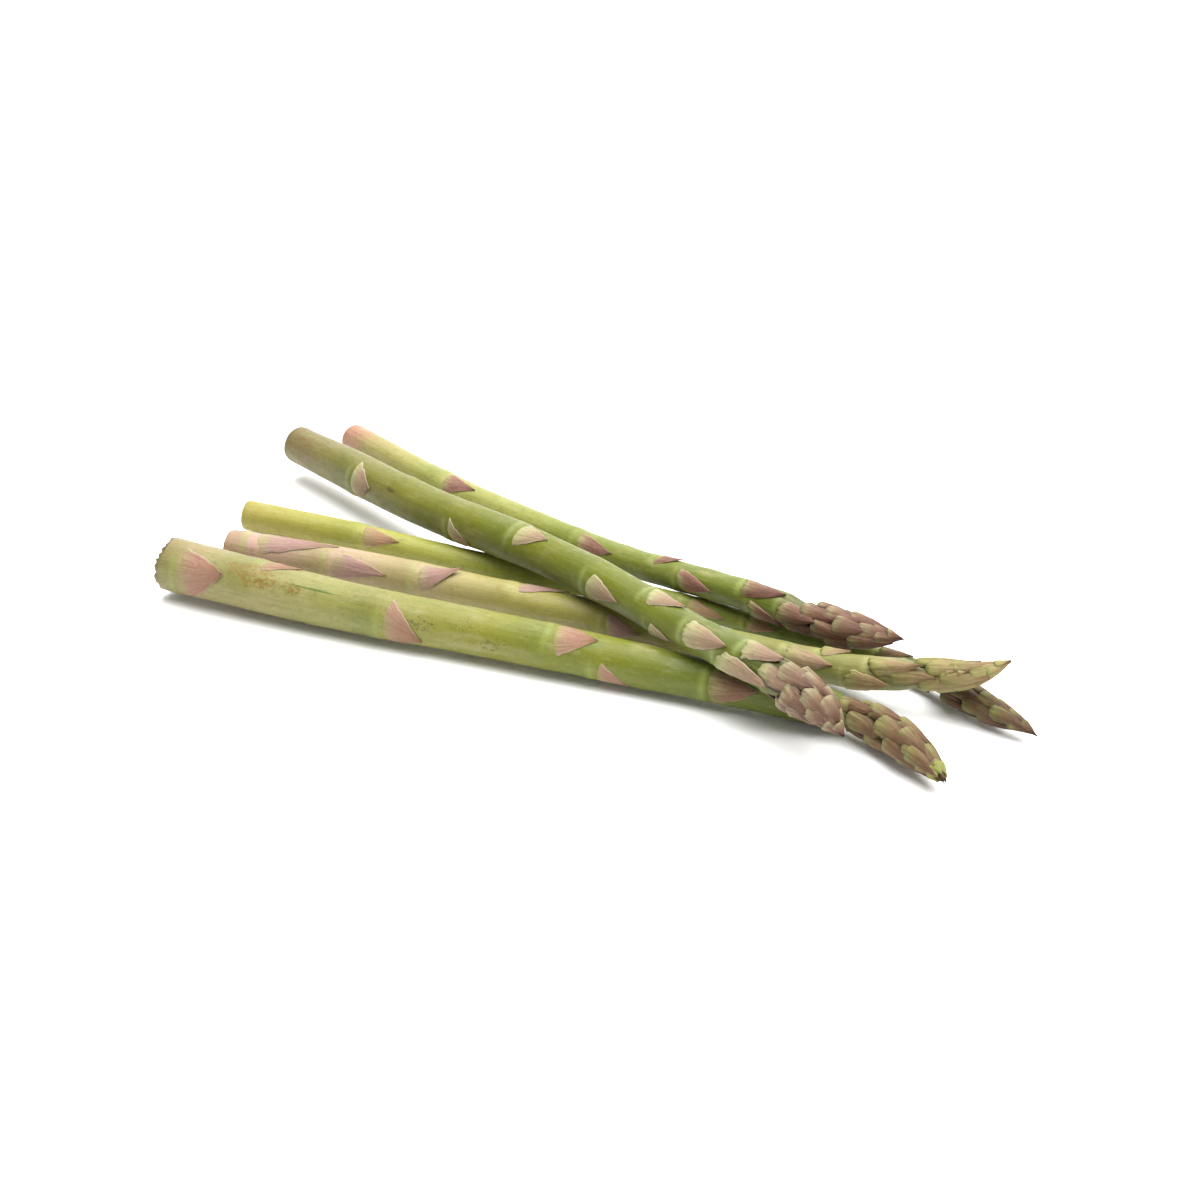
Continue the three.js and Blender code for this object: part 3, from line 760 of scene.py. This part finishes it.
# Each spear: tone lifts or lowers all of a look's colours, and along lists its colours from base to tip.
# leafChanges widens, rolls or reshapes single leaves, counted from the butt. A mark lies at a distance in mm
# and an angle. In a head, delay is in mm, and a bud is its place, angle, length in mm, spread and youth.
spearA = {
    "piece": "spearA", "node": "spear_a", "seed": 3.0, "ragged": 2.2,
    "youngShare": 1.0, "plumpLeaves": 0.75,
    "leafChanges": {1: {"wider": 1.45, "roll": -16}, 4: {"wider": 1.6, "roll": -18}, 6: {"wider": 1.2},
                    7: {"wider": 1.25}},
    "stalkLook": {
        "worn": 0.8, "wornColour": (128, 106, 66), "tone": 0.96,
        "along": [(0.0, (184, 158, 112)), (0.06, (188, 172, 116)), (0.22, (178, 174, 98)),
                  (0.42, (164, 162, 52)), (0.55, (142, 147, 24)), (0.68, (118, 129, 10)),
                  (0.84, (94, 107, 10)), (0.9, (72, 78, 22))],
        "blotch": (206, 196, 142), "blotchAmount": 0.55, "streak": (120, 136, 44), "pale": (214, 208, 150),
        "ring": (172, 186, 86), "speck": (92, 84, 40), "marks": [
            {"along": 27, "angle": 34, "length": 8, "width": 3.2, "girth": 6.7, "grain": 1.8,
             "crumbs": (0.40, 0.58), "amount": 0.95, "colour": (158, 126, 48)},
            {"along": 36, "angle": 44, "length": 8, "width": 1.8, "girth": 6.6, "grain": 1.6,
             "crumbs": (0.42, 0.58), "amount": 0.9, "colour": (146, 112, 40)},
            {"along": 44, "angle": 36, "length": 8, "width": 0.34, "girth": 6.5, "grain": 0.3,
             "crumbs": (0.1, 0.3), "amount": 0.95, "colour": (84, 118, 16)},
            {"along": 60, "angle": 24, "length": 8, "width": 3.6, "girth": 6.2, "grain": 2.0,
             "crumbs": (0.50, 0.60), "amount": 0.7, "colour": (146, 116, 76)},
            {"along": 55, "angle": 74, "length": 6, "width": 2.0, "girth": 6.2, "grain": 1.8,
             "crumbs": (0.50, 0.62), "amount": 0.6, "colour": (128, 124, 90)},
            {"along": 73, "angle": 62, "length": 4, "width": 1.8, "girth": 6.1, "grain": 2.2,
             "crumbs": (0.50, 0.58), "amount": 0.85, "colour": (84, 76, 34)},
            {"along": 84, "angle": 48, "length": 4, "width": 2.0, "girth": 6.0, "grain": 2.2,
             "crumbs": (0.52, 0.60), "amount": 0.7, "colour": (96, 84, 38)},
            {"along": 93, "angle": 86, "length": 7, "width": 1.6, "girth": 5.9, "grain": 2.0,
             "crumbs": (0.50, 0.58), "amount": 0.8, "colour": (92, 78, 40)},
            {"along": 122, "angle": 52, "length": 9, "width": 2.6, "girth": 5.7, "grain": 2.2,
             "crumbs": (0.54, 0.62), "amount": 0.6, "colour": (96, 88, 40)}],
        "pith": (216, 208, 160), "strand": (168, 152, 92)},
    "leafLook": {
        "tone": 0.86,
        "along": [(0.0, (176, 186, 92)), (0.10, (198, 190, 122)), (0.24, (208, 174, 138)),
                  (0.45, (206, 160, 130)), (0.75, (196, 152, 116)), (1.0, (172, 128, 84))],
        "flush": (208, 150, 138), "flushAmount": 0.7, "vein": (168, 124, 92), "veinAmount": 0.34,
        "mottle": (226, 204, 168), "rim": (232, 214, 180), "rimAmount": 0.6},
    "head": {"scales": 17, "climb": 0.68, "longest": 0.36, "shortest": 0.30, "firstAngle": 20,
             "spread": 50, "plump": 1.8, "core": 0.70, "sink": 0.5, "open": 0.3, "rise": 0.45,
             "crinkle": 0.14, "delay": -3, "shut": 0.5,
             "extraBuds": [(0.79, a, 3.6, 66, 2.0) for a in (10, 70, 130, 200, 270, 320)]},
    "headLook": {
        "tone": 0.80,
        # painted shade colour for the crevices between head scales
        "paintedShade": (44, 44, 20),
        "along": [(0.0, (150, 152, 84)), (0.14, (176, 168, 104)), (0.34, (158, 134, 88)),
                  (0.6, (140, 104, 70)), (1.0, (112, 76, 48))],
        "flush": (158, 112, 84), "flushAmount": 0.6, "vein": (104, 84, 52), "veinAmount": 0.6,
        "mottle": (176, 158, 112), "rim": (204, 184, 140), "rimAmount": 0.65},
}
spearB = {
    "piece": "spearB", "node": "spear_b", "seed": 11.0, "ragged": 0.3,
    "youngShare": 1.0, "plumpLeaves": 0.95,
    "leafChanges": {1: {"length": 24 * mm}, 3: {"taper": 1.0, "stand": 1.4 * mm, "spread": 50}},
    "stalkLook": {
        "worn": 0.3, "wornColour": (196, 150, 128), "tone": 1.03,
        "along": [(0.0, (212, 166, 154)), (0.10, (212, 178, 154)), (0.22, (204, 182, 134)),
                  (0.40, (192, 183, 96)), (0.52, (170, 166, 70)), (0.66, (140, 148, 60)),
                  (0.84, (146, 152, 74)), (0.92, (104, 104, 50))],
        "blotch": (216, 190, 156), "blotchAmount": 0.5, "streak": (162, 154, 84), "pale": (226, 212, 172),
        "ring": (196, 196, 118), "speck": (132, 112, 72), "marks": [],
        "pith": (220, 206, 164), "strand": (176, 150, 100)},
    "leafLook": {
        "tone": 0.90,
        "along": [(0.0, (200, 200, 120)), (0.11, (214, 200, 148)), (0.25, (212, 180, 160)),
                  (0.45, (208, 164, 156)), (0.75, (198, 158, 138)), (1.0, (182, 142, 104))],
        "flush": (208, 158, 146), "flushAmount": 0.65, "vein": (176, 136, 110), "veinAmount": 0.34,
        "mottle": (232, 212, 184), "rim": (236, 220, 190), "rimAmount": 0.6},
    "head": {"scales": 11, "climb": 0.46, "longest": 0.74, "shortest": 0.5, "firstAngle": 200,
             "spread": 52, "plump": 1.4, "core": 0.78, "sink": 0.45, "open": 0.1, "rise": 0.3,
             "crinkle": 0.2, "delay": 0, "shut": 0.7,
             "extraBuds": [(-0.18, 66, 12, 46, 1.0), (0.34, 30, 2.6, 22, 1.4), (0.40, 52, 2.4, 20, 1.5),
                           (0.48, 34, 2.6, 22, 1.5), (0.52, 58, 2.2, 20, 1.4)]},
    "headLook": {
        "tone": 1.0,
        # painted shade colour for the crevices between head scales
        "paintedShade": (96, 92, 44),
        "along": [(0.0, (170, 172, 96)), (0.3, (186, 176, 112)), (0.6, (182, 156, 112)),
                  (0.85, (170, 132, 92)), (1.0, (150, 112, 74))],
        "flush": (184, 146, 112), "flushAmount": 0.6, "vein": (136, 116, 68), "veinAmount": 0.6,
        "mottle": (200, 186, 136), "rim": (222, 206, 160), "rimAmount": 0.55},
}
spearC = {
    "piece": "spearC", "node": "spear_c", "seed": 23.0, "ragged": 0.2,
    "youngShare": 0.8, "plumpLeaves": 0.55, "leafChanges": {},
    "stalkLook": {
        "worn": 0.35, "wornColour": (176, 158, 80), "tone": 1.0,
        "along": [(0.0, (196, 180, 88)), (0.12, (192, 188, 80)), (0.28, (194, 198, 92)),
                  (0.36, (156, 166, 40)), (0.50, (140, 150, 50)), (0.66, (124, 142, 52)),
                  (0.82, (100, 116, 46)), (0.9, (60, 60, 30))],
        "blotch": (216, 206, 130), "blotchAmount": 0.5, "streak": (150, 158, 52), "pale": (222, 214, 146),
        "ring": (186, 192, 96), "speck": (140, 128, 60), "marks": [],
        "pith": (218, 210, 150), "strand": (170, 156, 88)},
    "leafLook": {
        "tone": 0.90,
        "along": [(0.0, (188, 196, 98)), (0.11, (206, 196, 128)), (0.26, (212, 180, 136)),
                  (0.5, (208, 168, 126)), (0.8, (196, 156, 112)), (1.0, (170, 132, 88))],
        "flush": (214, 164, 128), "flushAmount": 0.6, "vein": (170, 136, 96), "veinAmount": 0.34,
        "mottle": (228, 206, 160), "rim": (230, 214, 170), "rimAmount": 0.5},
    "head": {"scales": 14, "climb": 0.62, "longest": 0.40, "shortest": 0.34, "firstAngle": 70,
             "spread": 50, "plump": 1.75, "core": 0.72, "sink": 0.5, "open": 0.3, "rise": 0.3,
             "crinkle": 0.08, "delay": 0, "shut": 0.9, "extraBuds": []},
    "headLook": {
        "tone": 1.10,
        # painted shade colour for the crevices between head scales
        "paintedShade": (30, 28, 16),
        "along": [(0.0, (112, 116, 62)), (0.14, (142, 138, 80)), (0.36, (118, 100, 60)),
                  (0.6, (100, 74, 54)), (1.0, (112, 82, 54))],
        "flush": (122, 84, 72), "flushAmount": 0.65, "vein": (78, 60, 42), "veinAmount": 0.6,
        "mottle": (146, 124, 84), "rim": (176, 156, 116), "rimAmount": 0.55},
}
spearD = {
    "piece": "spearD", "node": "spear_d", "seed": 37.0, "ragged": 0.2,
    "youngShare": 0.3, "plumpLeaves": 0.85, "leafChanges": {1: {"wider": 1.5, "roll": -12}, 3: {"wider": 1.3}},
    "stalkLook": {
        "worn": 0.6, "wornColour": (124, 104, 66), "tone": 0.92,
        "along": [(0.0, (152, 132, 88)), (0.10, (158, 146, 84)), (0.25, (148, 147, 46)),
                  (0.42, (136, 141, 14)), (0.68, (134, 142, 26)), (0.84, (112, 124, 24)),
                  (0.92, (80, 76, 30))],
        "blotch": (184, 176, 120), "blotchAmount": 0.45, "streak": (110, 124, 26), "pale": (202, 198, 128),
        "ring": (178, 192, 112), "speck": (100, 96, 46), "marks": [
            {"along": 46, "angle": 52, "length": 1.8, "width": 0.7, "girth": 5.4, "grain": 0.8,
             "crumbs": (0.3, 0.45), "amount": 0.85, "colour": (104, 84, 30)},
            {"along": 6, "angle": 70, "length": 9, "width": 6.0, "girth": 5.4, "grain": 1.6,
             "crumbs": (0.36, 0.60), "amount": 0.55, "colour": (136, 108, 64)},
            {"along": 118, "angle": 84, "length": 8, "width": 2.0, "girth": 5.2, "grain": 2.0,
             "crumbs": (0.52, 0.60), "amount": 0.6, "colour": (92, 92, 44)}],
        "pith": (214, 206, 156), "strand": (164, 148, 92)},
    "leafLook": {
        "tone": 0.84,
        "along": [(0.0, (196, 210, 116)), (0.14, (226, 226, 160)), (0.34, (218, 202, 150)),
                  (0.55, (206, 176, 140)), (0.8, (200, 166, 132)), (1.0, (176, 138, 104))],
        "flush": (206, 162, 142), "flushAmount": 0.55, "vein": (168, 142, 108), "veinAmount": 0.34,
        "mottle": (228, 214, 178), "rim": (236, 226, 194), "rimAmount": 0.85},
    "head": {"scales": 14, "climb": 0.60, "longest": 0.46, "shortest": 0.38, "firstAngle": 20,
             "spread": 58, "plump": 2.3, "core": 0.74, "sink": 0.7, "open": 0.7, "rise": 0.5,
             "crinkle": 0.46, "delay": 6, "shut": 0.8,
             "extraBuds": [(0.0, 52, 13, 44, 0.5), (0.0, 165, 11, 42, 0.6), (0.0, -70, 11, 42, 0.6)]},
    "headLook": {
        "tone": 0.74,
        # painted shade colour for the crevices between head scales
        "paintedShade": (48, 32, 20),
        "along": [(0.0, (168, 168, 104)), (0.14, (214, 202, 156)), (0.34, (190, 160, 124)),
                  (0.6, (158, 118, 94)), (1.0, (112, 72, 58))],
        "flush": (172, 134, 114), "flushAmount": 0.6, "vein": (132, 100, 80), "veinAmount": 0.6,
        "mottle": (210, 184, 150), "rim": (226, 206, 172), "rimAmount": 0.6},
}
spearE = {
    "piece": "spearE", "node": "spear_e", "seed": 51.0, "ragged": 0.15,
    "youngShare": 0.55, "plumpLeaves": 0.8, "leafChanges": {},
    "stalkLook": {
        "worn": 0.3, "wornColour": (196, 136, 118), "tone": 1.12,
        "along": [(0.0, (200, 146, 124)), (0.05, (184, 166, 106)), (0.18, (184, 180, 102)),
                  (0.38, (166, 169, 78)), (0.52, (138, 147, 50)), (0.8, (112, 122, 34)),
                  (0.9, (76, 66, 40))],
        "blotch": (206, 198, 142), "blotchAmount": 0.45, "streak": (126, 140, 46), "pale": (208, 204, 140),
        "ring": (176, 188, 96), "speck": (112, 104, 54), "marks": [],
        "pith": (224, 176, 150), "strand": (180, 140, 100)},
    "leafLook": {
        "tone": 0.92,
        "along": [(0.0, (184, 196, 112)), (0.13, (204, 194, 136)), (0.27, (188, 148, 116)),
                  (0.45, (170, 122, 104)), (0.75, (164, 118, 100)), (1.0, (140, 98, 76))],
        "flush": (172, 116, 104), "flushAmount": 0.65, "vein": (132, 92, 76), "veinAmount": 0.34,
        "mottle": (202, 170, 142), "rim": (218, 194, 164), "rimAmount": 0.6},
    "head": {"scales": 15, "climb": 0.62, "longest": 0.42, "shortest": 0.34, "firstAngle": 120,
             "spread": 52, "plump": 1.9, "core": 0.74, "sink": 0.55, "open": 0.2, "rise": 0.45,
             "crinkle": 0.18, "delay": -3, "shut": 0.9, "extraBuds": []},
    "headLook": {
        "tone": 0.84,
        # painted shade colour for the crevices between head scales
        "paintedShade": (40, 26, 20),
        "along": [(0.0, (150, 150, 90)), (0.14, (194, 176, 130)), (0.34, (172, 134, 104)),
                  (0.6, (150, 106, 88)), (1.0, (132, 70, 72))],
        "flush": (148, 104, 88), "flushAmount": 0.65, "vein": (100, 72, 60), "veinAmount": 0.6,
        "mottle": (180, 148, 118), "rim": (206, 178, 146), "rimAmount": 0.6},
}


def finishPiece(bm, name, nodes, material, thick=None):
    mesh = bpy.data.meshes.new(name)
    for face in bm.faces:
        face.smooth = True
    bm.to_mesh(mesh)
    bm.free()
    piece = bpy.data.objects.new(name, mesh)
    bpy.context.collection.objects.link(piece)
    mesh.materials.append(material)
    if thick:
        wall = piece.modifiers.new("wall", "SOLIDIFY")
        wall.thickness = thick * mm
        wall.offset = -1
        wall.use_rim = True
    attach(piece, "root")
    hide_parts(*nodes)


def makeSpear(spear):
    piece, node = spear["piece"], spear["node"]
    spear["spine"] = readSpine(node)
    stalkSpots, stalkAlong = nearestOn(spear["spine"], node + "_stalk")
    spear["headStart"] = stalkAlong.max()
    leafNodes = sorted(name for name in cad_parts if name.startswith(node + "_leaf"))
    spear["leaves"] = [readLeaf(spear["spine"], name) for name in leafNodes]
    finishPiece(buildStalk(spear), piece + "Stalk", [node + "_stalk"], stalkSkin(spear))
    scaleMaterial = leafSkin(spear)
    for i, (leafNode, leaf) in enumerate(zip(leafNodes, spear["leaves"])):
        bm = emptySheets()
        seed = spear["seed"] + i * leafShape["seedStep"]
        addSheet(bm, spear["spine"], settleLeaf(spear, i + 1, leaf), leafShape, seed)
        bmesh.ops.remove_doubles(bm, verts=bm.verts, dist=leafShape["seam"] * mm)
        finishPiece(bm, f"{piece}Leaf{i + 1:02d}", [leafNode], scaleMaterial, leafShape["thick"])
    finishPiece(buildHead(spear), piece + "Head", [node + "_head"], scaleMaterial, headShape["thick"])
    print(piece, "length", round(spear["spine"]["length"] / mm), "mm, head from",
          round(spear["headStart"] / mm), "mm,", len(leafNodes), "leaves")


for spear in (spearA, spearB, spearC, spearD, spearE):
    makeSpear(spear)
